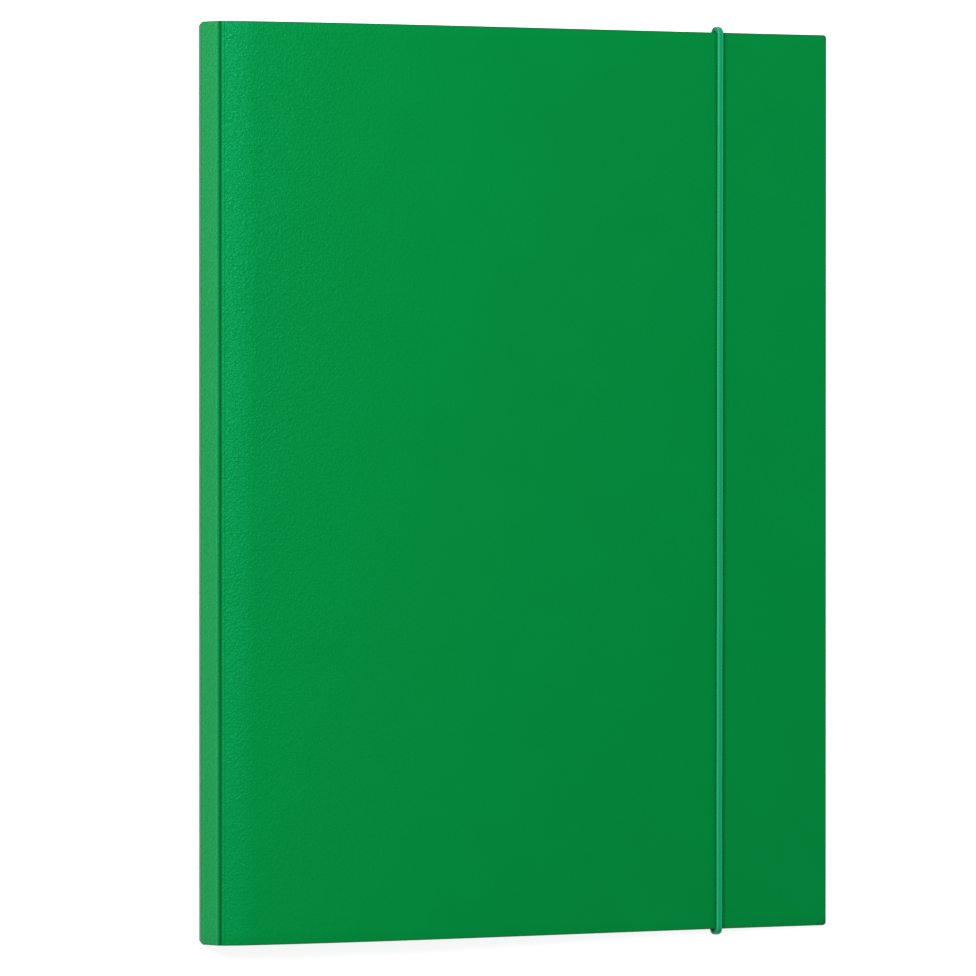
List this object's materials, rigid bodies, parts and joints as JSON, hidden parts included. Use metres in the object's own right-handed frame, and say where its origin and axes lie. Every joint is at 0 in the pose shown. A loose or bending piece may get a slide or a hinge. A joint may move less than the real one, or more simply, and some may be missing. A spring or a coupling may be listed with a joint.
{
  "type": "elastic folder",
  "caption": "Thin board document folder with a hinged cover, inner flaps and a flat elastic cord that holds it closed.",
  "frame": {"origin": "under the middle of the closed folder, on the surface that the back cover lies on", "axes": "+X from the spine to the fore edge, +Y up the page, +Z out of the front cover"},
  "size_m": [0.2436, 0.3238, 0.0164],
  "materials": {
    "cover_board": "grained, waxed pressboard",
    "flap_card": "smooth matt card",
    "elastic_braid": "ribbed braid over rubber",
    "clip_metal": "pressed, plated"
  },
  "bodies": {
    "back": {"back_cover": "cover_board", "back_fold": "cover_board", "top_flap": "flap_card", "bottom_flap": "flap_card", "side_flap": "flap_card", "elastic_cord": "elastic_braid", "top_cord_clip": "clip_metal", "bottom_cord_clip": "clip_metal"},
    "spine": {"spine": "cover_board", "front_fold": "cover_board"},
    "front": {"front_cover": "cover_board"}
  },
  "joints": [
    {"name": "spine_hinge", "type": "hinge", "parent": "back", "child": "spine", "pos_m": [-0.12184, 0, 0.00157], "axis": [0, -1, 0], "range_deg": [0, 104], "deforming": ["back_fold"]},
    {"name": "front_hinge", "type": "hinge", "parent": "spine", "child": "front", "pos_m": [-0.11779, 0, 0.01305], "axis": [0, -1, 0], "range_deg": [0, 72], "deforming": ["front_fold", "elastic_cord"]}
  ]
}
